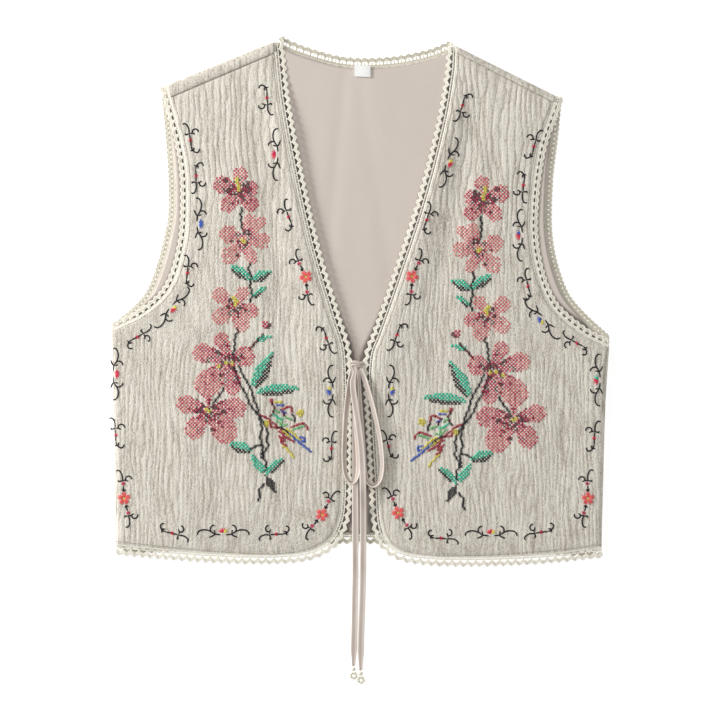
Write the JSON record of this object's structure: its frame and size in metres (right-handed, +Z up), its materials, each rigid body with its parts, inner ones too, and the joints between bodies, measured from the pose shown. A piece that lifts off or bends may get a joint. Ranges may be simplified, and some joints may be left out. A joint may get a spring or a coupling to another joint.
{
  "type": "embroidered waistcoat",
  "caption": "Short sleeveless V-neck waistcoat laid flat, with cross-stitch flowers, lace edging and two bowed ties with bead ends.",
  "frame": {"origin": "middle of the garment's outline, without its ties, on the surface that it lies on", "axes": "+Z up out of the surface, +Y towards the neck, +X towards the wearer's left"},
  "size_m": [0.4969, 0.6493, 0.0123],
  "materials": {
    "gauze": "crinkled cotton gauze, matte",
    "satin": "smooth satin lining, low sheen",
    "lace": "cotton crochet lace, matte",
    "label": "woven tape, blank",
    "tie": "satin strip, low sheen",
    "bead": "glossy white"
  },
  "bodies": {
    "root": {"back": "gauze", "lining_back": "satin", "front_right": "gauze", "front_left": "gauze", "lace_edge_right": "lace", "lace_edge_left": "lace", "lace_armhole_front_right": "lace", "lace_armhole_front_left": "lace", "lace_armhole_back_right": "lace", "lace_armhole_back_left": "lace", "lace_neck_back": "lace", "lace_hem_back": "lace", "label": "label", "tie_right_root": "tie", "tie_right_loop": "tie", "tie_right_tail": "tie", "tie_left_root": "tie", "tie_left_loop": "tie", "tie_left_tail": "tie", "knot": "tie", "bead_right": "bead", "bead_left": "bead", "charm_right": "bead", "charm_left": "bead"}
  },
  "joints": []
}
